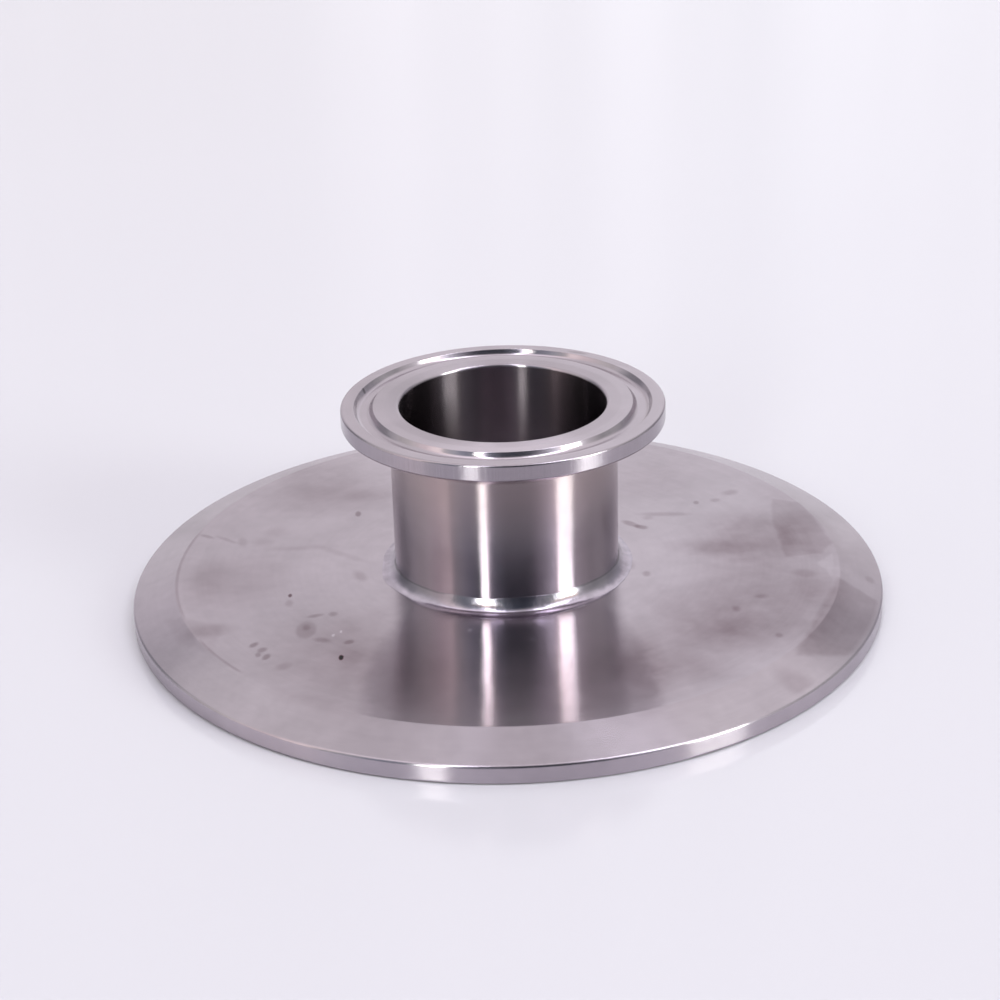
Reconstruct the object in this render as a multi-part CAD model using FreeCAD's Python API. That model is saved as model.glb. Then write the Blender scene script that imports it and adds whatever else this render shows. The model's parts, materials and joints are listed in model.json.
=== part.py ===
"""Cap-style clamp reducer for sanitary pipework.

A solid clamp cap carries a short clamp ferrule. The ferrule's tube stands in a hole through the middle of the cap
and is welded there on both sides: with a hollow fillet bead above, and with a seam ground flush below, on the side
that touches the product. Every piece is turned, so every piece is a half section spun round Z.

The origin is on the axis at the cap's underside, with +Z up the ferrule. Lengths are in millimetres.
"""

import FreeCAD
import Part
import math
import os
from typing import NamedTuple

# Clamp joint, the same at both ends
SEAT_ANGLE = 20.0  # degrees that the cone behind a rim slopes, where the clamp pulls
EDGE_BREAK = 0.3  # chamfer on a rim's corners and on the bore's mouths
GROOVE_WIDTH = 3.0  # gasket groove across its mouth
GROOVE_FLOOR = 1.4  # gasket groove across its flat floor
GROOVE_DEPTH = 1.0

# Clamp cap
CAP_DIAMETER = 119.0
CAP_THICKNESS = 5.3
CAP_RIM = 2.85  # width of the cap's outer edge
CAP_LAND = 2.85  # flat face left outside the cap's gasket groove

# Ferrule
FERRULE_DIAMETER = 50.4
FERRULE_RIM = 2.6  # width of the ferrule's outer edge
FERRULE_LAND = 2.05  # flat face left outside the ferrule's gasket groove
TUBE_DIAMETER = 35.6
TUBE_WALL = 1.7
NECK_FILLET = 1.5  # hollow where the ferrule's seat cone meets its tube
OVERALL_HEIGHT = 32.7  # cap underside to ferrule face

# Welds
HOLE_CLEARANCE = 0.1  # between the tube and the cap's hole, all round
BEAD_LEG = 2.7  # fillet bead's reach along the cap
BEAD_RISE = 1.9  # fillet bead's reach up the tube
BEAD_TOE = 0.1  # thickness of the bead's outer edge
BEAD_HOLLOW = 0.3  # how far the bead's face dips behind the line across it
SEAM_SIZE = 1.0  # chamfer under the cap's hole that the flush seam fills

cap_radius = CAP_DIAMETER / 2
ferrule_radius = FERRULE_DIAMETER / 2
tube_radius = TUBE_DIAMETER / 2
bore_radius = tube_radius - TUBE_WALL
hole_radius = tube_radius + HOLE_CLEARANCE
seat_slope = math.tan(math.radians(SEAT_ANGLE))


class Corner(NamedTuple):
    """Corner of a half section, sharp, or cut back along both its sides, or rounded."""

    radius: float
    height: float
    chamfer: float = 0
    fillet: float = 0


def point(radius, height):
    """Point of a half section, which lies in the XZ plane."""
    return FreeCAD.Vector(radius, 0, height)


def line(start, end):
    """Straight edge between two points."""
    return Part.LineSegment(start, end).toShape()


def spun(edges):
    """Solid of a closed half section spun once round Z."""
    return Part.Face(Part.Wire(edges)).revolve(FreeCAD.Vector(0, 0, 0), FreeCAD.Vector(0, 0, 1), 360)


def turned(corners):
    """Solid turned to a half section with straight sides, and with its corners chamfered or rounded as they say."""
    points = [point(corner.radius, corner.height) for corner in corners]
    entries = []
    exits = []
    corner_edges = []
    for i, corner in enumerate(corners):
        back = (points[i - 1] - points[i]).normalize()
        ahead = (points[(i + 1) % len(points)] - points[i]).normalize()
        half_angle = back.getAngle(ahead) / 2
        reach = corner.chamfer + corner.fillet / math.tan(half_angle)
        entries.append(points[i] + back * reach)
        exits.append(points[i] + ahead * reach)
        if corner.chamfer:
            corner_edges.append([line(entries[i], exits[i])])
        elif corner.fillet:
            to_crown = corner.fillet / math.sin(half_angle) - corner.fillet
            crown = points[i] + (back + ahead).normalize() * to_crown
            corner_edges.append([Part.Arc(entries[i], crown, exits[i]).toShape()])
        else:
            corner_edges.append([])
    edges = []
    for i, corner_edge in enumerate(corner_edges):
        edges += corner_edge
        edges.append(line(exits[i], entries[(i + 1) % len(points)]))
    return spun(edges)


def groove(flange_radius, land, face_height, outward):
    """Corners of a gasket groove from the outside in, in a face whose outward normal is up (1) or down (-1)."""
    mouth = flange_radius - land
    wall = (GROOVE_WIDTH - GROOVE_FLOOR) / 2
    floor_height = face_height - outward * GROOVE_DEPTH
    return [
        Corner(mouth, face_height),
        Corner(mouth - wall, floor_height),
        Corner(mouth - wall - GROOVE_FLOOR, floor_height),
        Corner(mouth - GROOVE_WIDTH, face_height),
    ]


def clamp_cap():
    """Solid cap with a clamp rim, a hole for the tube and a gasket groove under its rim."""
    shoulder_radius = cap_radius - (CAP_THICKNESS - CAP_RIM) / seat_slope
    top = [
        Corner(cap_radius, 0, chamfer=EDGE_BREAK),
        Corner(cap_radius, CAP_RIM, chamfer=EDGE_BREAK),
        Corner(shoulder_radius, CAP_THICKNESS),
    ]
    hole = [
        Corner(hole_radius, CAP_THICKNESS),
        Corner(hole_radius, SEAM_SIZE),
        Corner(hole_radius + SEAM_SIZE, 0),
    ]
    underside = groove(cap_radius, CAP_LAND, 0, -1)
    return turned(top + hole + underside[::-1])


def ferrule():
    """Tube with a clamp flange turned on its upper end and a gasket groove in the flange's face."""
    seat_height = OVERALL_HEIGHT - FERRULE_RIM
    neck_height = seat_height - (ferrule_radius - tube_radius) * seat_slope
    outside = [
        Corner(tube_radius, 0),
        Corner(tube_radius, neck_height, fillet=NECK_FILLET),
        Corner(ferrule_radius, seat_height, chamfer=EDGE_BREAK),
        Corner(ferrule_radius, OVERALL_HEIGHT, chamfer=EDGE_BREAK),
    ]
    bore = [
        Corner(bore_radius, OVERALL_HEIGHT, chamfer=EDGE_BREAK),
        Corner(bore_radius, 0, chamfer=EDGE_BREAK),
    ]
    face = groove(ferrule_radius, FERRULE_LAND, OVERALL_HEIGHT, 1)
    return turned(outside + face + bore)


def weld_bead():
    """Fillet bead between the cap's top and the tube, with a hollow face."""
    root = point(tube_radius, CAP_THICKNESS)
    foot = root + point(BEAD_LEG, 0)
    toe = foot + point(0, BEAD_TOE)
    top = root + point(0, BEAD_RISE)
    chord = top - toe
    inward = point(-chord.z, chord.x).normalize()
    middle = (toe + top) * 0.5 + inward * BEAD_HOLLOW
    face = Part.Arc(toe, middle, top).toShape()
    return spun([face, line(top, root), line(root, foot), line(foot, toe)])


def seam_weld():
    """Weld that fills the chamfer under the cap's hole, ground flush with the cap and the tube's end."""
    return turned(
        [
            Corner(tube_radius, 0),
            Corner(hole_radius + SEAM_SIZE, 0),
            Corner(hole_radius, SEAM_SIZE),
            Corner(tube_radius, SEAM_SIZE),
        ]
    )


def main():
    """Write each piece to its own file."""
    os.makedirs("parts", exist_ok=True)
    pieces = {
        "clamp_cap": clamp_cap(),
        "ferrule": ferrule(),
        "weld_bead": weld_bead(),
        "seam_weld": seam_weld(),
    }
    for name, shape in pieces.items():
        shape.exportStep(f"parts/{name}.step")
        print(f"{name}: valid {shape.isValid()}, {shape.Volume / 1000:.2f} cm3")


main()
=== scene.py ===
"""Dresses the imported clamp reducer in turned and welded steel, and sets it on a glossy white table.

Every piece is a closed section carried once round the Z axis, so a piece is one grid of points: section
points down, turns across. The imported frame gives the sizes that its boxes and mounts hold, and the property
groups below give the rest. Meshes are in metres, with MM to write them in millimetres, and finishes are
worked out in millimetres.
"""

import json
import math

import bpy
import numpy as np
from bpy.props import FloatProperty, FloatVectorProperty, IntProperty, PointerProperty
from mathutils import Matrix, Vector


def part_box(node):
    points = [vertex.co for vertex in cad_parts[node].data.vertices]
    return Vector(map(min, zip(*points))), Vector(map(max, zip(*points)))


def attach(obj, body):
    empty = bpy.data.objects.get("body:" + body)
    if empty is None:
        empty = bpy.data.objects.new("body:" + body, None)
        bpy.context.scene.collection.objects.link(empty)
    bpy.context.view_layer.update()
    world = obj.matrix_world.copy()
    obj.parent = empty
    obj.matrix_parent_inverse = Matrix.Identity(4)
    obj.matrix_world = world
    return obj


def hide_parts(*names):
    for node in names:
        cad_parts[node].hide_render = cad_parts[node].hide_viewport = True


bl_info = {
    "name": "Clamp reducer",
    "version": (1, 0, 0),
    "blender": (4, 5, 0),
    "location": "3D View > Sidebar > Fitting",
    "description": "Turns, welds and polishes a cap-style clamp reducer, and sets it on a white table",
    "category": "Object",
}

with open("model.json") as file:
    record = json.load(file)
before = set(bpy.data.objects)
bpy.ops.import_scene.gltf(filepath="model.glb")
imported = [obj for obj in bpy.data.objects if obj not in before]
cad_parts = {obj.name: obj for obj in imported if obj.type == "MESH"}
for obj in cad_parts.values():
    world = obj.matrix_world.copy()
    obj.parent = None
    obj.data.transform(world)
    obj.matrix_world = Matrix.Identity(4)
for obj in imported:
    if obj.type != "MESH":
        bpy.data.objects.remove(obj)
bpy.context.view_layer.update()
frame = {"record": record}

MM = 0.001

cap_low, cap_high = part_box("clamp_cap")
ferrule_low, ferrule_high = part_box("ferrule")
bead_low, bead_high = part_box("weld_bead")
seam_low, seam_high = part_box("seam_weld")
bore_mount = next(mount for mount in frame["record"]["mounts"] if mount["name"] == "bore")


def length(name, description, default):
    """Property that holds a length."""
    return FloatProperty(
        name=name, description=description, default=default, min=0, unit="LENGTH", precision=5
    )


def angle(name, description, degrees):
    """Property that holds an angle, given in degrees."""
    return FloatProperty(
        name=name, description=description, default=math.radians(degrees), subtype="ANGLE"
    )


def share(name, description, default):
    """Property that holds a number from 0 to 1."""
    return FloatProperty(
        name=name, description=description, default=default, min=0, max=1, subtype="FACTOR"
    )


def colour(name, description, default):
    """Property that holds a linear colour."""
    return FloatVectorProperty(
        name=name, description=description, default=default, min=0, soft_max=1, subtype="COLOR", size=3
    )


class FittingSizes(bpy.types.PropertyGroup):
    """Sizes of the fitting."""

    cap_radius: length("Cap radius", "Radius of the clamp cap's rim", cap_high.x)
    cap_thickness: length("Cap thickness", "From the cap's underside to its flat top", cap_high.z)
    cap_rim: length("Cap rim", "Width of the cap's outer edge", 2.85 * MM)
    cap_groove: length("Cap groove", "Radius of the middle of the cap's gasket groove", 55.15 * MM)
    ferrule_radius: length("Ferrule radius", "Radius of the ferrule's rim", ferrule_high.x)
    ferrule_rim: length("Ferrule rim", "Width of the ferrule's outer edge", 2.6 * MM)
    ferrule_groove: length("Ferrule groove", "Radius of the middle of the ferrule's groove", 21.65 * MM)
    height: length("Height", "From the cap's underside to the ferrule's face", ferrule_high.z)
    tube_radius: length("Tube radius", "Outside radius of the ferrule's tube", 17.8 * MM)
    bore_radius: length("Bore radius", "Inside radius of the ferrule's tube", bore_mount["dims"]["r_mm"] * MM)
    hole_radius: length("Hole radius", "Radius of the cap's hole for the tube", 17.9 * MM)
    seat_angle: angle("Seat angle", "Slope of the cone behind each rim, where a clamp pulls", 20)
    groove_width: length("Groove width", "Gasket groove across its mouth", 3.0 * MM)
    groove_depth: length("Groove depth", "Depth of the gasket groove", 0.95 * MM)
    groove_wall: angle("Groove wall", "Slope of the gasket groove's walls", 60)
    groove_foot: length("Groove foot", "Rounding between the groove's wall and its floor", 0.8 * MM)
    neck_fillet: length("Neck fillet", "Radius of the hollow under the ferrule's rim", 1.5 * MM)
    edge_radius: length("Edge radius", "Rounding of the ferrule rim's corners", 0.35 * MM)
    cap_edge_radius: length("Cap edge radius", "Rounding of the cap rim's corners", 0.5 * MM)
    mouth_radius: length("Mouth radius", "Rounding of the bore's mouth", 0.45 * MM)
    shoulder_radius: length("Shoulder radius", "Rounding between the cap's flat top and its cone", 0.5 * MM)
    seam_size: length("Seam size", "Chamfer under the cap's hole that the seam fills", seam_high.z)
    bead_leg: length("Bead leg", "Reach of the fillet bead along the cap", bead_high.x - 17.9 * MM)
    bead_rise: length("Bead rise", "Reach of the bead up the tube", bead_high.z - cap_high.z - 0.05 * MM)
    bead_toe: length("Bead toe", "Thickness of the bead's lower edge", 0.02 * MM)
    turns: IntProperty(name="Turns", description="Number of steps round a piece", default=640, min=64)


class SteelFinish(bpy.types.PropertyGroup):
    """Colours and polish of the steel."""

    cap_steel: colour("Cap steel", "Steel of the cap", (0.47, 0.42, 0.46))
    ferrule_steel: colour("Ferrule steel", "Steel of the ferrule", (0.47, 0.42, 0.46))
    warm_steel: colour("Warm steel", "Steel of the tube under the ferrule's rim", (0.455, 0.378, 0.39))
    # Darker than the ferrule's steel: painted shade inside the bore.
    bore_shaded_steel: colour("Bore steel", "Steel inside the bore", (0.37, 0.312, 0.345))
    weld_metal: colour("Weld metal", "Metal of the bead and the seam", (0.5, 0.45, 0.515))
    cap_roughness: share("Cap roughness", "Roughness of the cap's satin finish", 0.18)
    ferrule_roughness: share("Ferrule roughness", "Roughness of the ferrule's polish", 0.17)
    weld_roughness: share("Weld roughness", "Roughness of the weld metal", 0.19)


class StageSettings(bpy.types.PropertyGroup):
    """The table, the light round it and the camera."""

    table: colour("Table", "Colour of the table", (0.675, 0.66, 0.707))
    backdrop: colour("Backdrop", "What the camera sees above the table", (0.847, 0.823, 0.888))
    ceiling: colour("Ceiling", "Light from above", (1.6, 1.52, 1.6))
    back_ceiling: colour("Back ceiling", "Light from above and behind", (0.7, 0.68, 0.7))
    back_wall_top: colour("Back wall top", "Light from the upper walls behind", (0.88, 0.86, 0.88))
    right_share: share("Right share", "Brightness of the right window's lower part by the left's", 0.85)
    left_window: angle("Left window", "Where the left window stands, from straight in front", -22.5)
    right_window: angle("Right window", "Where the right window stands, from straight in front", 60.5)
    left_width: angle("Left width", "How wide the left window is", 7)
    right_width: angle("Right width", "How wide the right window is", 17)
    lens: FloatProperty(name="Lens", description="Focal length", default=79.75, min=1, unit="CAMERA")
    camera_place: FloatVectorProperty(
        name="Camera place",
        description="Where the camera stands",
        default=(0, -0.3192735, 0.1600319),
        subtype="TRANSLATION",
        unit="LENGTH",
    )
    camera_pitch: angle("Pitch", "How far the camera looks down", 24.294)
    camera_yaw: angle("Yaw", "How far the camera looks aside", -0.151)
    camera_roll: angle("Roll", "How far the camera leans", -1.623)


# What the steel sees round it, by degrees from straight in front, + to the right: a pale screen behind, walls
# at the sides, and a dark room in front, with the edge of a screen at the left. Set to match the photograph.
ROOM = (
    (-180, (1.0, 0.97, 1.01)),
    (-172, (0.84, 0.8, 0.83)),
    (-159, (0.87, 0.84, 0.88)),
    (-147, (0.76, 0.73, 0.78)),
    (-134, (0.33, 0.33, 0.36)),
    (-120, (0.37, 0.38, 0.4)),
    (-109, (0.7, 0.7, 0.72)),
    (-99, (0.76, 0.75, 0.73)),
    (-90, (0.89, 0.88, 0.85)),
    (-74, (1.14, 1.02, 1.02)),
    (-60, (1.5, 1.37, 1.31)),
    (-57.5, (1.5, 1.37, 1.31)),
    (-56.5, (0.58, 0.61, 0.6)),
    (-46, (0.46, 0.5, 0.54)),
    (-39, (0.29, 0.33, 0.4)),
    (-28, (0.13, 0.155, 0.19)),
    (-8, (0.11, 0.13, 0.16)),
    (0, (0.03, 0.04, 0.055)),
    (25, (0.03, 0.04, 0.055)),
    (35, (0.28, 0.28, 0.32)),
    (41, (0.45, 0.47, 0.5)),
    (52, (0.62, 0.65, 0.68)),
    (68, (1.14, 1.14, 1.18)),
    (85, (0.7, 0.7, 0.7)),
    (93, (0.52, 0.53, 0.53)),
    (113, (0.6, 0.61, 0.61)),
    (124, (0.46, 0.46, 0.49)),
    (139, (0.45, 0.45, 0.49)),
    (151, (0.8, 0.77, 0.81)),
    (159, (0.9, 0.87, 0.91)),
    (172, (1.1, 1.09, 1.14)),
    (180, (1.0, 0.97, 1.01)),
)
BRIGHTEST_WALL = 2.0

# Light of the two tall windows by degrees of height: bright panes up to a warm dim bar, and paler ones above.
WINDOW = (
    (0, (15, 16, 15.3)),
    (25, (15, 16, 15.3)),
    (27, (10.5, 11, 9.8)),
    (28.5, (4.9, 3.9, 2.7)),
    (31, (1.4, 0.85, 0.5)),
    (36, (1.5, 1.3, 1.2)),
    (43, (3.6, 3.6, 3.6)),
    (52, (8, 8.1, 9)),
)
BRIGHTEST_PANE = 18


# Shapes


def arc(centre, radius, start, end, steps):
    """Points of an arc: the centre plus the radius times (cosine, sine) of evenly spaced angles."""
    turn = np.linspace(start, end, steps + 1)
    return np.array(centre) + radius * np.stack([np.cos(turn), np.sin(turn)], axis=-1)


def rounded(corners, steps=8):
    """Open line through (radius, height, rounding) corners, with the inner corners rounded.

    A rounding is the arc that touches both sides of its corner. With h half the angle between the sides, its
    centre lies on their bisector at rounding / sin(h) from the corner, and it spans from one side's normal to
    the other's.
    """
    corners = np.array(corners)
    lines = [corners[:1, :2]]
    for before, (x, y, rounding), after in zip(corners, corners[1:], corners[2:]):
        corner = np.array([x, y])
        back = before[:2] - corner
        ahead = after[:2] - corner
        back /= np.linalg.norm(back)
        ahead /= np.linalg.norm(ahead)
        if rounding == 0:
            lines.append(corner[None])
            continue
        bisector = (back + ahead) / np.linalg.norm(back + ahead)
        half = np.arccos(np.clip(back @ ahead, -1, 1)) / 2
        centre = corner + bisector * rounding / math.sin(half)
        reach = rounding / math.tan(half)
        start = corner + back * reach - centre
        end = corner + ahead * reach - centre
        first = math.atan2(start[1], start[0])
        turn = (math.atan2(end[1], end[0]) - first + math.pi) % math.tau - math.pi
        lines.append(arc(centre, rounding, first, first + turn, steps))
    lines.append(corners[-1:, :2])
    return np.concatenate(lines)


def groove(sizes, middle, face, outward, lip=0.1 * MM):
    """Groove from its inside out, in a face that looks up (1) or down (-1): two sloping walls and a floor.

    A wall is as wide as the depth divided by the tangent of its slope. The lips and the floor's corners are
    rounded.
    """
    half = sizes.groove_width / 2
    floor = half - sizes.groove_depth / math.tan(sizes.groove_wall)
    bottom = -sizes.groove_depth
    section = rounded(
        [
            (-half - 2 * lip, 0, 0),
            (-half, 0, lip),
            (-floor, bottom, sizes.groove_foot),
            (floor, bottom, sizes.groove_foot),
            (half, 0, lip),
            (half + 2 * lip, 0, 0),
        ],
        steps=10,
    )
    return section[1:-1] * (1, outward) + (middle, face)


def braced(section, margin=0.04 * MM):
    """Closed section with a point added near both ends of each long side, which keeps its shading flat."""
    ahead = np.roll(section, -1, axis=0) - section
    size = np.linalg.norm(ahead, axis=1, keepdims=True)
    step = ahead / np.maximum(size, 1e-12) * margin
    points = np.stack([section, section + step, section + ahead - step], axis=1)
    keep = np.broadcast_to(size > 6 * margin, (len(section), 3)).copy()
    keep[:, 0] = True
    return points[keep]


def carried_round(radius, height, turns):
    """Grid of points (r cos a, r sin a, z) of sections carried round Z, for evenly spaced angles a.

    The radii and heights are one section's, or a grid with one section for each angle.
    """
    turn = np.arange(turns) * math.tau / turns
    radius = np.broadcast_to(radius.reshape(len(radius), -1), (len(radius), turns))
    height = np.broadcast_to(height.reshape(len(height), -1), (len(height), turns))
    return np.stack([radius * np.cos(turn), radius * np.sin(turn), height], axis=-1)


def wrapped_piece(name, points, material, node):
    """Piece whose skin is a grid of points that closes on itself both ways, in place of a CAD node."""
    rows, turns = points.shape[:2]
    index = np.arange(rows * turns).reshape(rows, turns)
    beside = np.roll(index, -1, axis=1)
    quads = np.stack([index, beside, np.roll(beside, -1, axis=0), np.roll(index, -1, axis=0)], axis=-1)
    mesh = bpy.data.meshes.new(name)
    mesh.from_pydata(points.reshape(-1, 3).tolist(), [], quads.reshape(-1, 4).tolist())
    mesh.shade_smooth()
    mesh.materials.append(material)
    piece = bpy.data.objects.new(name, mesh)
    bpy.context.scene.collection.objects.link(piece)
    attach(piece, "root")
    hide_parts(node)
    return piece


def waves(turn, seed, counts, height):
    """Smooth unevenness round a piece: a sum of sines with whole numbers of waves and fixed random phases."""
    draw = np.random.default_rng(seed)
    phase = draw.uniform(0, math.tau, len(counts))
    weight = draw.uniform(0.5, 1, len(counts))
    sines = weight[:, None] * np.sin(np.outer(counts, turn) + phase[:, None])
    return height * sines.sum(axis=0) / len(counts)


# Shader maths


class Wire:
    """Socket of a node tree. Arithmetic on wires and numbers adds the Math nodes that work it out."""

    def __init__(self, tree, socket=None):
        self.tree = tree
        self.socket = socket

    def node(self, kind, inputs=(), output=0, stops=(), **settings):
        """Adds a node, gives it its settings, ramp stops and inputs, and returns an output, if it has any.

        Inputs are values or wires, in a dict by socket name, or in order. A stop is a position and a colour.
        """
        made = self.tree.nodes.new(kind)
        for name, value in settings.items():
            setattr(made, name, value)
        if stops:
            ramp = made.color_ramp.elements
            while len(ramp) < len(stops):
                ramp.new(1)
            for element, (position, tint) in zip(ramp, stops):
                element.position = position
                element.color = (*tint, 1)
        sockets = [socket for socket in made.inputs if socket.enabled]
        pairs = inputs.items() if isinstance(inputs, dict) else enumerate(inputs)
        for key, value in pairs:
            socket = sockets[key] if isinstance(key, int) else next(s for s in sockets if s.name == key)
            if isinstance(value, Wire):
                self.tree.links.new(value.socket, socket)
            elif socket.type == "RGBA":
                socket.default_value = (*value, 1)
            else:
                socket.default_value = value
        outputs = [socket for socket in made.outputs if socket.enabled]
        if not outputs:
            return None
        found = outputs[output] if isinstance(output, int) else next(s for s in outputs if s.name == output)
        return Wire(self.tree, found)

    def maths(self, operation, *values):
        """Math node."""
        return self.node("ShaderNodeMath", values, operation=operation)

    def vector(self, operation, *values):
        """Vector Math node on this wire."""
        return self.node("ShaderNodeVectorMath", (self, *values), operation=operation)

    def __add__(self, other):
        return self.maths("ADD", self, other)

    def __radd__(self, other):
        return self.maths("ADD", other, self)

    def __sub__(self, other):
        return self.maths("SUBTRACT", self, other)

    def __rsub__(self, other):
        return self.maths("SUBTRACT", other, self)

    def __mul__(self, other):
        return self.maths("MULTIPLY", self, other)

    def __rmul__(self, other):
        return self.maths("MULTIPLY", other, self)

    def __abs__(self):
        return self.maths("ABSOLUTE", self)

    def least(self, other):
        """The smaller of two wires."""
        return self.maths("MINIMUM", self, other)

    def most(self, other):
        """The larger of two wires."""
        return self.maths("MAXIMUM", self, other)

    def ramp(self, low, high):
        """Smooth step from 0 at low to 1 at high."""
        return self.node(
            "ShaderNodeMapRange",
            {"Value": self, "From Min": low, "From Max": high},
            interpolation_type="SMOOTHSTEP",
        )

    def band(self, low, high, soft):
        """1 between two values, with soft steps at both."""
        return self.ramp(low - soft, low + soft) * (1 - self.ramp(high - soft, high + soft))

    def mix(self, tint, other):
        """Colour that this wire, from 0 to 1, blends from one to the other."""
        return self.node("ShaderNodeMix", [self, tint, other], data_type="RGBA")

    def times(self, tint):
        """Colour with this brightness."""
        return self.node("ShaderNodeCombineXYZ", [self, self, self]).vector("MULTIPLY", tuple(tint))

    def lighter(self, tint):
        """This colour, with no channel under that of another."""
        return self.node("ShaderNodeMix", [1.0, self, tint], data_type="RGBA", blend_type="LIGHTEN")

    def split(self):
        """The three parts of a vector."""
        made = self.node("ShaderNodeSeparateXYZ", [self])
        return [Wire(self.tree, socket) for socket in made.socket.node.outputs]


class Surface:
    """Point of a piece in millimetres, with the noises and masks that its finish is made of."""

    def __init__(self, name):
        self.material = bpy.data.materials.new(name)
        self.material.use_nodes = True
        self.material.node_tree.nodes.clear()
        self.start = Wire(self.material.node_tree)
        self.point = self.start.node("ShaderNodeTexCoord", output="Object").vector("SCALE", 1 / MM)
        self.x, self.y, self.z = self.point.split()
        self.radius = self.point.vector("MULTIPLY", (1, 1, 0)).vector("LENGTH")

    def noise(self, size, detail=2.0, place=None, output="Fac"):
        """Cloudy noise from 0 to 1, whose lumps have a size in millimetres."""
        place = place or self.point
        return self.start.node(
            "ShaderNodeTexNoise", {"Vector": place, "Scale": 1 / size, "Detail": detail}, output=output
        )

    def rings(self, size, seed=0, detail=2.0):
        """Noise that changes with the radius and the height alone, as the lines that a lathe leaves do."""
        place = self.start.node("ShaderNodeCombineXYZ", [self.radius, self.z, float(seed)])
        return self.noise(size, detail, place)

    def shaken(self, size, reach):
        """Flat point moved aside by noise, so that what is drawn on it has an uneven outline."""
        push = self.noise(size, 3.0, output="Color").vector("SUBTRACT", (0.5, 0.5, 0.5))
        push = push.vector("SCALE", 2 * reach)
        return self.point.vector("ADD", push).vector("MULTIPLY", (1, 1, 0))

    def blot(self, place, x, y, long, wide, turn=0, soft=0.3):
        """1 inside an oval and 0 outside: the length of the point in the oval's own units, stepped."""
        own = self.start.node(
            "ShaderNodeMapping",
            {
                "Vector": place,
                "Location": (x, y, 0),
                "Rotation": (0, 0, math.radians(turn)),
                "Scale": (long / 2, wide / 2, 1),
            },
            vector_type="TEXTURE",
        )
        return 1 - own.vector("LENGTH").ramp(1 - soft, 1 + soft)

    def patch(self, place, corners, soft):
        """1 inside a convex outline that goes clockwise: the least depth behind any of its sides, stepped."""
        inside = None
        for (x, y), (next_x, next_y) in zip(corners, corners[1:] + corners[:1]):
            size = math.hypot(next_x - x, next_y - y)
            inward = ((next_y - y) / size, (x - next_x) / size, 0)
            depth = place.vector("DOT_PRODUCT", inward) - (inward[0] * x + inward[1] * y)
            inside = depth if inside is None else inside.least(depth)
        return inside.ramp(-soft / 2, soft / 2)

    def steel(self, tint, roughness, grain, height=None, depth=1.0):
        """Finishes the material as metal whose scratches run round the axis, so that it blurs across them.

        Blender's own tangent runs round Z. A quarter turn of the anisotropy puts the wide side of the
        highlight across the scratches. The depth is that of a height of 1, in millimetres.
        """
        inputs = {
            "Base Color": tint,
            "Roughness": roughness,
            "Metallic": 1.0,
            "Anisotropic": grain,
            "Anisotropic Rotation": 0.25,
        }
        if height is not None:
            inputs["Normal"] = self.start.node(
                "ShaderNodeBump", {"Strength": 1.0, "Distance": depth * MM, "Height": height}
            )
        shader = self.start.node("ShaderNodeBsdfPrincipled", inputs)
        self.start.node("ShaderNodeOutputMaterial", [shader])
        return self.material


# Finishes

# Where the finishes change, in millimetres of radius or height: a step runs from the first to the second.
CAP_TOP_HEIGHTS = (2.9, 3.3)
# Radii of the painted shade line along the cap's shoulder.
SHOULDER_SHADE_RADII = (52.3, 52.75)
WORN_RADII = (24, 50)
BORE_WALL = (16.2, 16.4)
BORE_MOUTH = (32.1, 32.3)
TUBE_WALL = (18, 19)
RIM_WALL = (24.95, 25.1)
FACE_HEIGHTS = (32.2, 32.5)
MARKED_HEIGHTS = (31.5, 32)
DULL_HEIGHTS = (8, 26)
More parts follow.
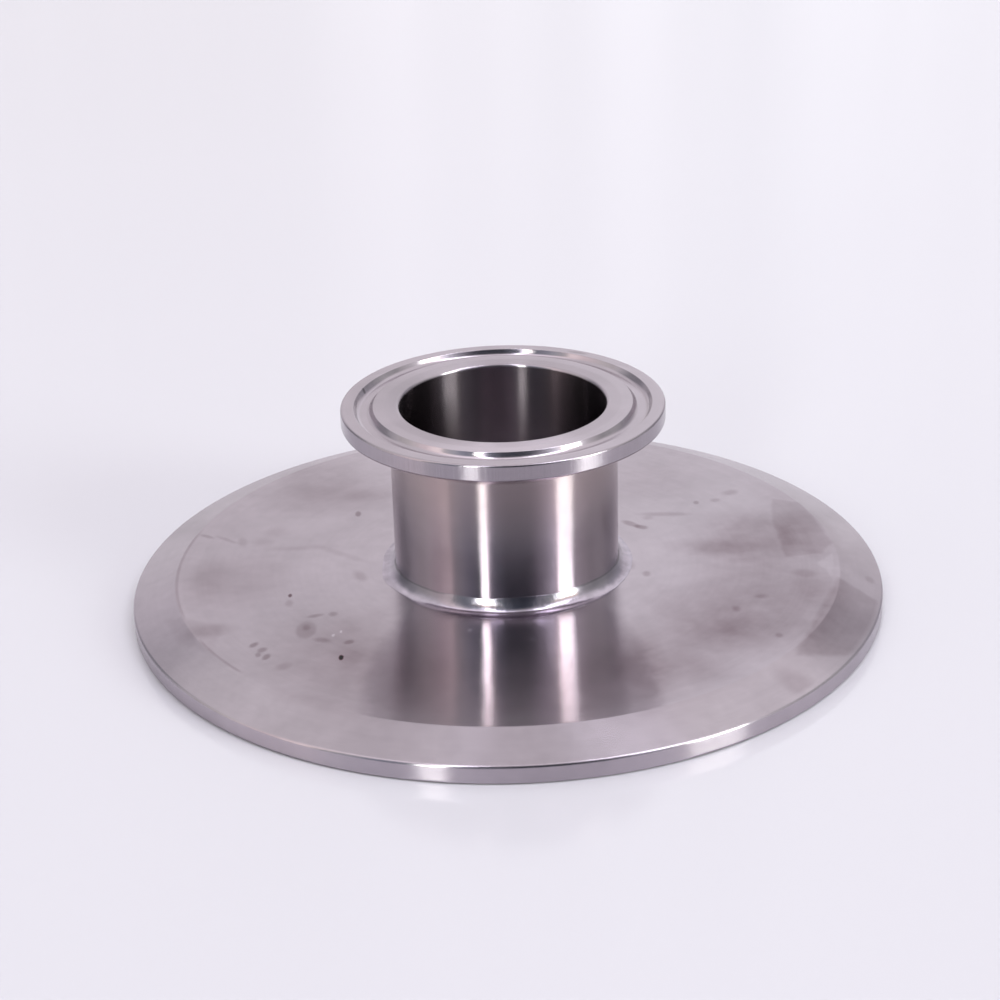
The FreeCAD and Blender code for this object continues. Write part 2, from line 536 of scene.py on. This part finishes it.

# Marks on the cap's top, in millimetres and degrees: x, y, length, width, turn, softness and how much they
# darken the steel. A minus lightens it. Their places were picked in the photograph, and the fitted camera
# gave their millimetres.
CAP_MARKS = (
    (-32, 34, 14, 15, 0, 0.5, 0.08),
    (-29.6, 26.2, 19, 12, 4, 0.7, 0.11),
    (-24, 27, 8, 4, 0, 0.8, 0.08),
    (-49.4, 12.1, 2.6, 0.9, -35, 0.6, 0.16),
    (-46, 10.6, 4.4, 0.9, -40, 0.6, 0.12),
    (-43.3, 9.6, 1.4, 3.2, 10, 0.6, 0.12),
    (-24.8, 19.4, 0.9, 2.0, 0, 0.5, 0.3),
    (-38, 13, 3.4, 3.4, 20, 0.8, 0.08),
    (-39.8, 9.3, 2.8, 3, -20, 0.8, 0.08),
    (-34, 6.6, 9, 1.6, 3, 0.8, 0.08),
    (-26.7, 4, 9.4, 1.4, -38, 0.8, 0.07),
    (-43.5, -5.2, 14, 17, -20, 0.7, 0.12),
    (-47.5, -4, 5, 12, 0, 0.7, 0.07),
    (-45.5, -21.7, 6.5, 3.6, 10, 0.7, 0.14),
    (-33.93, -10.5, 0.55, 1.1, 0, 0.5, 0.6),
    (-33.9, -13.2, 1.2, 2.2, 0, 0.6, 0.14),
    (-24.8, -31.3, 0.65, 1.4, 0, 0.5, 0.75),
    (-30.6, -22.2, 3.0, 5.4, 0, 0.25, 0.14),
    (-30.6, -21.4, 1.2, 1.8, 0, 0.6, 0.12),
    (-28, -25.6, 2.6, 1.4, -20, 0.6, 0.14),
    (-29.5, -17.6, 2.2, 1.0, 20, 0.6, 0.2),
    (-26.8, -17.2, 1.2, 1.4, -20, 0.6, 0.2),
    (-38.1, -26.6, 1.0, 1.7, -30, 0.5, 0.26),
    (-36.7, -28.3, 1.2, 1.6, -30, 0.5, 0.26),
    (-37.2, -29.8, 0.8, 1.4, 0, 0.5, 0.22),
    (-35.9, -30.5, 1.0, 1.8, -20, 0.5, 0.28),
    (-33.1, -33.5, 1.8, 2.4, -40, 0.6, 0.14),
    (-23.9, -26.5, 1.6, 1.2, 35, 0.5, 0.18),
    (-26.4, -24.2, 0.5, 0.9, 0, 0.5, -0.25),
    (-25.3, -23.1, 0.4, 0.8, 0, 0.5, -0.25),
    (-24.8, -21, 5, 7, 0, 0.8, 0.05),
    (-23.5, -30.6, 4, 5, 10, 0.7, 0.07),
    (-23.3, -4.3, 1.7, 3.6, 20, 0.6, 0.14),
    (-19.9, -17.9, 4, 5, 0, 0.8, 0.05),
    (46.7, -7.6, 3.4, 2.4, -12, 0.6, 0.1),
    (20.6, 12.6, 3.3, 1.5, -45, 0.5, 0.24),
    (22.2, 11.2, 2.2, 1.4, -30, 0.5, 0.26),
    (26.4, 16, 7, 1.5, -4, 0.7, 0.16),
    (23.6, 14.7, 1.6, 1.6, 0, 0.7, 0.12),
    (32.1, 20.3, 0.9, 1.3, 0, 0.6, 0.22),
    (35.4, 21, 1.6, 1.4, 30, 0.6, 0.14),
    (38.2, 24, 2.6, 1.8, 30, 0.7, 0.16),
    (25, 30, 13, 14, 0, 0.7, 0.06),
    (21.9, -6.2, 1.2, 1.8, 0, 0.6, 0.2),
    (19.6, -3, 1.4, 3, 0, 0.7, 0.12),
    (34.7, -19.1, 1.2, 1.8, 0, 0.7, 0.14),
    (39, -15.1, 2, 1.4, 0, 0.7, 0.12),
    (40.1, -28, 1, 1.4, 0, 0.6, 0.14),
    (57, -7.1, 1.4, 2, 0, 0.6, 0.14),
    (26.9, -37.6, 9, 6, -22, 0.9, 0.08),
    (49.3, 8, 9, 17, 0, 0.35, 0.1),
    (40.5, 9, 17, 14, 10, 0.6, 0.16),
    (33, 3, 12, 5, -8, 0.6, 0.14),
    (47, 22, 8, 10, 20, 0.7, 0.07),
    (37.9, -18.4, 22, 26, 0, 0.6, 0.25),
    (33, -26, 10, 8, 0, 0.8, 0.08),
    (23.5, -16, 6, 12, 20, 0.8, 0.06),
    (19.3, -38.2, 6, 18, 0, 0.6, 0.12),
    (41.4, -39.6, 6, 4.4, -40, 0.7, 0.14),
    (-5.84, -23.68, 0.6, 0.8, 0, 0.5, -0.4),
    (3.41, -27.11, 0.6, 0.8, 0, 0.5, -0.4),
    (-22, -33, 18, 24, 30, 0.9, 0.24),
    (22, -34, 18, 26, -30, 0.9, 0.22),
    (42, -1, 22, 12, 0, 0.7, 0.14),
    (48.5, -12, 8, 10, 0, 0.7, 0.14),
    (-27, -44.5, 14, 2.6, -28, 0.8, 0.06),
    (-14, -46, 12, 6, -10, 0.8, 0.06),
)

# Stains on the cap with straighter sides: softness, how much they darken the steel, and the corners
# clockwise, picked as the marks were.
CAP_STAINS = (
    (1.2, 0.1, ((-50.5, 12.8), (-46.8, 19.3), (-42, 21), (-40, 34), (-48, 30), (-56, 14))),
    (
        1.5,
        0.08,
        ((-42, 21), (-34.6, 21.5), (-28.6, 23.1), (-24.2, 26.8), (-20.2, 30.7), (-30, 44), (-42, 36)),
    ),
    (0.8, 0.1, ((44, 13), (45, 21), (49.5, 19), (51, 12.2), (52.6, 3.3), (50, -0.6), (44.3, -1.5))),
    (2.5, 0.07, ((29.3, 0.1), (34, 7.3), (39.7, 14.8), (46, 10), (46, -2), (37, -3.1))),
    (1.2, 0.14, ((51.5, -9.4), (57.6, -13.8), (56, -21), (52.2, -30.4), (41.3, -33.8), (48.5, -17))),
    (0.6, -0.06, ((49.2, -3.9), (52.1, -0.4), (50.8, -9.3))),
    (1.5, 0.07, ((-52.5, -16.1), (-43.5, -19.8), (-43.9, -29.1), (-49.7, -24))),
)

# Marks on the ferrule's face, given as those on the cap. The last one is a painted highlight that lightens
# the front of the face.
FERRULE_MARKS_AND_SHEEN = (
    (-21.9, 6.9, 0.6, 0.7, 0, 0.5, 0.5),
    (-19, 13, 4, 1.2, 35, 0.8, -0.1),
    (20.5, 6, 1.4, 5, 20, 0.8, -0.12),
    (18.5, 13.5, 5, 1.2, -40, 0.8, -0.12),
    (12.5, 20.5, 3, 0.8, -30, 0.7, 0.25),
    (-9, -20.9, 3, 0.9, -20, 0.7, 0.25),
    # Painted highlight: lightens the front of the face.
    (0, -18.4, 22, 6, 0, 0.8, -0.24),
)


def cap_finish(finish):
    """Satin steel with turning lines, cloudy stains, pits and scuffs, and a painted shade line along the
    shoulder at the left and front.
    """
    surface = Surface("cap_steel_satin")
    on_top = surface.z.ramp(*CAP_TOP_HEIGHTS)
    uneven = surface.shaken(2.5, 0.5)
    steady = surface.shaken(0.7, 0.12)
    dark = surface.start.maths("ADD", 0.0, 0.0)
    for soft, strength, corners in CAP_STAINS:
        dark = dark + strength * surface.patch(uneven, list(corners), soft)
    for x, y, long, wide, turn, soft, strength in CAP_MARKS:
        dark = dark + strength * surface.blot(steady, x, y, long, wide, turn, soft)
    # Painted shade: a dark line along the shoulder, at the cap's left and front.
    shoulder = surface.radius.band(*SHOULDER_SHADE_RADII, 0.2)
    left_side = surface.blot(steady, -52.6, -2.3, 32, 14, 90, 0.2)
    front_side = surface.blot(steady, -43, -30, 12, 14, 125, 0.2)
    dark = dark + 0.16 * shoulder * left_side.most(front_side)
    cloud = surface.noise(11, 4.0) - 0.5
    fine = surface.noise(2.2, 4.0) - 0.5
    lines = surface.rings(0.5) - 0.5
    dark = dark * (0.85 + 0.7 * surface.noise(3, 3.0)) * on_top
    level = 1 - dark + 0.3 * cloud + 0.14 * fine + 0.06 * lines
    warm = surface.start.node("ShaderNodeCombineXYZ", [level, level - 0.14 * dark, level - 0.1 * dark])
    tint = warm.vector("MULTIPLY", tuple(finish.cap_steel))
    worn = surface.radius.ramp(*WORN_RADII)
    roughness = finish.cap_roughness + 0.03 * worn + 0.03 * cloud + 0.03 * (surface.rings(0.35, 3) - 0.5)
    height = surface.noise(9, 1.0) + 0.1 * surface.noise(1.6, 1.0) + 0.05 * surface.rings(0.9, 5)
    return surface.steel(tint, roughness, 1.0, height, 0.03)


def ferrule_finish(finish):
    """Polished steel with fine lines round it, warmer under the rim, and rougher in the bore, with painted
    shade in the bore, deepest at its left and right, and a painted highlight on the front of its face.
    """
    surface = Surface("ferrule_steel_polished")
    warmth = surface.z.ramp(13, 26) * (1 - surface.z.ramp(26.5, 29.5))
    inside = (1 - surface.radius.ramp(*BORE_WALL)) * (1 - surface.z.ramp(*BORE_MOUTH))
    tube = (1 - inside) * (1 - surface.radius.ramp(*TUBE_WALL))
    rim = surface.radius.ramp(*RIM_WALL)
    flat = surface.point.vector("MULTIPLY", (1, 1, 0))
    tint = warmth.mix(tuple(finish.ferrule_steel), tuple(finish.warm_steel))
    # Painted shade inside the bore, darkest towards its left and right sides.
    painted_bore_side_shade = 0.65 * inside * abs(surface.x).ramp(8.5, 13)
    tint = inside.mix(tint, tuple(finish.bore_shaded_steel)).vector("SCALE", 1 - painted_bore_side_shade)
    cloud = surface.noise(5, 4.0) - 0.5
    lines = surface.rings(0.4) - 0.5
    streaks = surface.noise(0.2, 3.0, flat) - 0.5
    uneven = surface.shaken(1.2, 0.25)
    dark = 0.12 * surface.z.ramp(*FACE_HEIGHTS) * surface.blot(uneven, -17, 5, 12, 16, 10, 0.5)
    for x, y, long, wide, turn, soft, strength in FERRULE_MARKS_AND_SHEEN:
        face_blot = surface.blot(uneven, x, y, long, wide, turn, soft)
        dark = dark + strength * surface.z.ramp(*MARKED_HEIGHTS) * face_blot
    level = 1 - dark + 0.18 * cloud + 0.08 * lines * (1 - inside) + (0.35 * streaks - 0.14) * rim
    tint = tint.vector("SCALE", level)
    dull = surface.z.ramp(*DULL_HEIGHTS) * tube
    roughness = finish.ferrule_roughness + 0.06 * inside + 0.09 * dull + 0.03 * cloud * (1 - inside)
    roughness = roughness + 0.03 * (surface.rings(0.3, 3) - 0.5) * (1 - inside)
    height = surface.noise(6, 1.0) + 0.06 * surface.rings(0.8, 5) * (1 - inside) + 0.9 * rim * streaks
    return surface.steel(tint, roughness, 1.0, height, 0.02)


def weld_finish(finish):
    """Smooth weld metal with faint ripples, with painted shade along both its toes, down its steep upper face
    at the sides, and at its far left and right.
    """
    surface = Surface("weld_metal_smooth")
    across = surface.start.node("ShaderNodeAttribute", output="Fac", attribute_name="across")
    spots = surface.noise(1.6, 3.0)
    aside = abs(surface.x)
    # Painted shade: a dark line along the outer toe, at the front left and right.
    toe = across.ramp(0.93, 0.98) * (0.2 + 0.5 * spots)
    toe = toe * aside.band(5, 17.5, 2) * (1 - surface.y.ramp(-9, -5))
    # Painted shade along the top toe, deeper at the sides.
    top = (1 - across.ramp(0.03, 0.16)) * (0.3 + 0.6 * spots) * (0.3 + 0.7 * aside.ramp(4, 12))
    # Painted shade down the steep upper face at the sides.
    steep_face_shade = (1 - across.ramp(0.1, 0.6)) * (0.2 + 0.5 * spots) * aside.band(5, 17.9, 2)
    # The last term is painted shade at the far left and right.
    level = 1 + 0.5 * (spots - 0.5) - toe.most(top).most(steep_face_shade) - 0.1 * aside.ramp(16.5, 18.5)
    tint = level.times(finish.weld_metal)
    roughness = finish.weld_roughness + 0.08 * (surface.noise(0.9, 2.0) - 0.5)
    height = surface.noise(2.0, 2.0) + 0.15 * surface.noise(0.7, 1.0)
    return surface.steel(tint, roughness, 0.0, height, 0.04)


# Pieces


class FITTING_OT_turn_cap(bpy.types.Operator):
    """Turns the clamp cap"""

    bl_idname = "fitting.turn_cap"
    bl_label = "Turn the clamp cap"

    def execute(self, context):
        sizes = context.scene.fitting_sizes
        shoulder = sizes.cap_radius - (sizes.cap_thickness - sizes.cap_rim) / math.tan(sizes.seat_angle)
        underside = groove(sizes, sizes.cap_groove, 0, -1)
        top = rounded(
            [
                (*underside[-1], 0),
                (sizes.cap_radius, 0, sizes.cap_edge_radius),
                (sizes.cap_radius, sizes.cap_rim, sizes.cap_edge_radius),
                (shoulder, sizes.cap_thickness, sizes.shoulder_radius),
                (sizes.hole_radius, sizes.cap_thickness, 0),
                (sizes.hole_radius, sizes.seam_size, 0),
                (sizes.hole_radius + sizes.seam_size, 0, 0),
            ]
        )
        section = braced(np.concatenate([underside, top[1:]]))
        points = carried_round(section[:, 0], section[:, 1], sizes.turns)
        wrapped_piece(
            "clamp_cap_turned", points, cap_finish(context.scene.steel_finish), "clamp_cap"
        )
        return {"FINISHED"}


class FITTING_OT_turn_ferrule(bpy.types.Operator):
    """Turns the ferrule"""

    bl_idname = "fitting.turn_ferrule"
    bl_label = "Turn the ferrule"

    def execute(self, context):
        sizes = context.scene.fitting_sizes
        seat = sizes.height - sizes.ferrule_rim
        neck = seat - (sizes.ferrule_radius - sizes.tube_radius) * math.tan(sizes.seat_angle)
        face = groove(sizes, sizes.ferrule_groove, sizes.height, 1)[::-1]
        outside = rounded(
            [
                (sizes.bore_radius, 0, 0),
                (sizes.tube_radius, 0, 0.05 * MM),
                (sizes.tube_radius, neck, sizes.neck_fillet),
                (sizes.ferrule_radius, seat, sizes.edge_radius),
                (sizes.ferrule_radius, sizes.height, sizes.edge_radius),
                (*face[0], 0),
            ]
        )
        mouth = rounded(
            [
                (*face[-1], 0),
                (sizes.bore_radius, sizes.height, sizes.mouth_radius),
                (sizes.bore_radius, 0, sizes.edge_radius),
                (sizes.bore_radius + 0.5 * MM, 0, 0),
            ]
        )
        section = braced(np.concatenate([outside[1:], face[1:], mouth[1:-1]]))
        points = carried_round(section[:, 0], section[:, 1], sizes.turns)
        wrapped_piece(
            "ferrule_turned", points, ferrule_finish(context.scene.steel_finish), "ferrule"
        )
        return {"FINISHED"}


# How the bead changes round the tube.
SHORTER_ASIDE = 0.5 * MM
HIGHER_IN_FRONT = 0.4 * MM
LOWER_ASIDE = 0.9 * MM
HIGHER_AT_RIGHT = 0.15 * MM
FACE_POWER = 2.2
STEEPER_IN_FRONT = 1.8


class FITTING_OT_lay_bead(bpy.types.Operator):
    """Lays the fillet bead round the tube's foot"""

    bl_idname = "fitting.lay_bead"
    bl_label = "Lay the weld bead"

    def execute(self, context):
        """The face is hollow: at a share u of the leg its height is toe + (rise - toe) (1 - u) ** power.

        All of them change round the tube: in front the bead is high and its power is large, so that it falls
        steeply and runs out in an apron, and at both sides it is low and short.
        """
        sizes = context.scene.fitting_sizes
        turn = np.arange(sizes.turns) * math.tau / sizes.turns
        front = np.maximum(-np.sin(turn), 0)
        side = np.abs(np.cos(turn))
        leg = sizes.bead_leg + 0.1 * MM - SHORTER_ASIDE * side**2
        leg = leg + waves(turn, 3, np.arange(4, 14), 0.6 * MM) + waves(turn, 8, np.arange(20, 48), 0.12 * MM)
        rise = sizes.bead_rise + HIGHER_IN_FRONT * front**6 - LOWER_ASIDE * side**8
        rise = rise + HIGHER_AT_RIGHT * np.cos(turn)
        rise = rise + waves(turn, 5, np.arange(4, 16), 0.5 * MM)
        rise = rise + waves(turn, 9, np.arange(18, 44), 0.08 * MM)
        power = FACE_POWER + STEEPER_IN_FRONT * front**8
        share = np.concatenate([np.linspace(0, 0.97, 28) ** 1.5, [0.99, 1]])[:, None]
        face = sizes.bead_toe + (rise - sizes.bead_toe) * (1 - share) ** power
        out = np.concatenate([leg * share, leg[None], 0 * leg[None]])
        height = np.concatenate([face, 0 * leg[None], 0 * leg[None]])
        points = carried_round(
            (sizes.tube_radius + out)[::-1], (sizes.cap_thickness + height)[::-1], sizes.turns
        )
        piece = wrapped_piece(
            "weld_bead_laid", points, weld_finish(context.scene.steel_finish), "weld_bead"
        )
        across = np.clip(out / leg, 0, 1)[::-1]
        piece.data.attributes.new("across", "FLOAT", "POINT").data.foreach_set("value", across.ravel())
        return {"FINISHED"}


class FITTING_OT_grind_seam(bpy.types.Operator):
    """Grinds the seam flush with the cap's underside"""

    bl_idname = "fitting.grind_seam"
    bl_label = "Grind the seam"

    def execute(self, context):
        sizes = context.scene.fitting_sizes
        corners = [
            (sizes.tube_radius, 0),
            (sizes.hole_radius + sizes.seam_size, 0),
            (sizes.hole_radius, sizes.seam_size),
            (sizes.tube_radius, sizes.seam_size),
        ]
        section = braced(np.array(corners), 0.02 * MM)
        points = carried_round(section[:, 0], section[:, 1], sizes.turns)
        wrapped_piece(
            "seam_weld_ground", points, weld_finish(context.scene.steel_finish), "seam_weld"
        )
        return {"FINISHED"}


TABLE_RADIUS = 4
TABLE_SIDES = 96
TABLE_DROP = 0.02 * MM
TABLE_ROUGHNESS = 0.12


class FITTING_OT_set_stage(bpy.types.Operator):
    """Sets the table, the light and the camera"""

    bl_idname = "fitting.set_stage"
    bl_label = "Set the stage"

    def execute(self, context):
        stage = context.scene.stage_settings
        self.lay_table(context, stage)
        self.light_room(context, stage)
        self.stand_camera(context, stage)
        context.scene.view_settings.view_transform = "Standard"
        return {"FINISHED"}

    def lay_table(self, context, stage):
        """Round, glossy table top under the fitting."""
        turn = np.linspace(0, math.tau, TABLE_SIDES + 1)[:-1]
        ring = TABLE_RADIUS * np.stack([np.cos(turn), np.sin(turn), np.zeros(TABLE_SIDES)], axis=-1)
        ring[:, 2] = -TABLE_DROP
        mesh = bpy.data.meshes.new("table")
        mesh.from_pydata(ring.tolist(), [], [list(range(TABLE_SIDES))])
        surface = Surface("table_white")
        shader = surface.start.node(
            "ShaderNodeBsdfPrincipled", {"Base Color": tuple(stage.table), "Roughness": TABLE_ROUGHNESS}
        )
        surface.start.node("ShaderNodeOutputMaterial", [shader])
        mesh.materials.append(surface.material)
        table = bpy.data.objects.new("table", mesh)
        context.scene.collection.objects.link(table)

    def light_room(self, context, stage):
        """World round the table: a colour ramp round the room, a ceiling, and two tall windows in front."""
        world = bpy.data.worlds.new("studio")
        world.use_nodes = True
        world.node_tree.nodes.clear()
        context.scene.world = world
        start = Wire(world.node_tree)
        x, y, z = start.node("ShaderNodeTexCoord", output="Generated").split()
        across = x.maths("ARCTAN2", x, -1 * y)
        climb = z.maths("ARCSINE", z)
        degree = math.radians(1)
        stops = [((place + 180) / 360, [part / BRIGHTEST_WALL for part in tint]) for place, tint in ROOM]
        walls = start.node("ShaderNodeValToRGB", [across * (1 / math.tau) + 0.5], stops=stops)
        walls = walls.vector("SCALE", BRIGHTEST_WALL)
        stripes = start.node(
            "ShaderNodeTexNoise",
            {"W": across, "Scale": 16.0, "Detail": 3.0},
            output="Fac",
            noise_dimensions="1D",
        )
        walls = walls.vector("SCALE", 1 + 0.6 * (stripes - 0.5))
        side = abs(x).ramp(0.1, 0.35) + x.ramp(0.1, 0.35)
        tops = walls.lighter((1 + 0.12 * side).times(stage.back_wall_top))
        light = (climb.ramp(28 * degree, 42 * degree) * y.ramp(-0.7, -0.15)).mix(walls, tops)
        ceiling = y.ramp(0.06, 0.22).mix(tuple(stage.ceiling), (1 + 0.12 * side).times(stage.back_ceiling))
        dark_front = across.band(-22 * degree, 48 * degree, 5 * degree)
        dark_front = dark_front * (1 - climb.ramp(68 * degree, 82 * degree))
        light = (climb.ramp(52 * degree, 66 * degree) * (1 - dark_front)).mix(light, ceiling)
        stops = [(place / 90, [part / BRIGHTEST_PANE for part in tint]) for place, tint in WINDOW]
        glow = start.node("ShaderNodeValToRGB", [climb * (2 / math.pi)], stops=stops)
        glow = glow.vector("SCALE", BRIGHTEST_PANE)
        low = 1 - climb.ramp(28 * degree, 36 * degree)
        for middle, width, dim in (
            (stage.left_window, stage.left_width, 0),
            (stage.right_window, stage.right_width, 1 - stage.right_share),
        ):
            pane = across.band(middle - width / 2, middle + width / 2, 0.5 * degree)
            pane = pane * climb.ramp(6 * degree, 9 * degree) * (1 - climb.ramp(74 * degree, 84 * degree))
            light = pane.mix(light, glow.vector("SCALE", 1 - dim * low))
        seen = start.node("ShaderNodeLightPath", output="Is Camera Ray")
        light = seen.mix(light, tuple(stage.backdrop))
        shader = start.node("ShaderNodeBackground", [light, 1.0])
        start.node("ShaderNodeOutputWorld", [shader])

    def stand_camera(self, context, stage):
        """Camera that looks down at the fitting: its axes are turned by yaw and pitch, and then by roll."""
        pitch, yaw, roll = stage.camera_pitch, stage.camera_yaw, stage.camera_roll
        ahead = Vector((math.sin(yaw) * math.cos(pitch), math.cos(yaw) * math.cos(pitch), -math.sin(pitch)))
        level = Vector((math.cos(yaw), -math.sin(yaw), 0))
        upright = level.cross(ahead)
        right = level * math.cos(roll) + upright * math.sin(roll)
        up = upright * math.cos(roll) - level * math.sin(roll)
        data = bpy.data.cameras.new("camera")
        data.lens = stage.lens
        data.clip_start = 0.01
        camera = bpy.data.objects.new("camera", data)
        turned = Matrix((right, up, -ahead)).transposed().to_4x4()
        camera.matrix_world = Matrix.Translation(stage.camera_place) @ turned
        context.scene.collection.objects.link(camera)
        context.scene.camera = camera


class FITTING_PT_panel(bpy.types.Panel):
    """Steps that make the fitting"""

    bl_idname = "FITTING_PT_panel"
    bl_label = "Clamp reducer"
    bl_space_type = "VIEW_3D"
    bl_region_type = "UI"
    bl_category = "Fitting"

    def draw(self, context):
        for operator in OPERATORS:
            self.layout.operator(operator.bl_idname)
        for group in GROUPS:
            settings = getattr(context.scene, group)
            box = self.layout.box()
            for name in settings.bl_rna.properties.keys():
                if name not in {"rna_type", "name"}:
                    box.prop(settings, name)


OPERATORS = (
    FITTING_OT_turn_cap,
    FITTING_OT_turn_ferrule,
    FITTING_OT_lay_bead,
    FITTING_OT_grind_seam,
    FITTING_OT_set_stage,
)
GROUPS = {"fitting_sizes": FittingSizes, "steel_finish": SteelFinish, "stage_settings": StageSettings}


def register():
    """Adds the classes, and the settings to every scene."""
    for added in (*GROUPS.values(), *OPERATORS, FITTING_PT_panel):
        bpy.utils.register_class(added)
    for name, group in GROUPS.items():
        setattr(bpy.types.Scene, name, PointerProperty(type=group))


def unregister():
    """Takes away what register added."""
    for name in GROUPS:
        delattr(bpy.types.Scene, name)
    for added in (FITTING_PT_panel, *OPERATORS, *GROUPS.values()):
        bpy.utils.unregister_class(added)


def main():
    register()
    bpy.ops.fitting.turn_cap()
    bpy.ops.fitting.turn_ferrule()
    bpy.ops.fitting.lay_bead()
    bpy.ops.fitting.grind_seam()
    bpy.ops.fitting.set_stage()


if __name__ == "__main__":
    main()
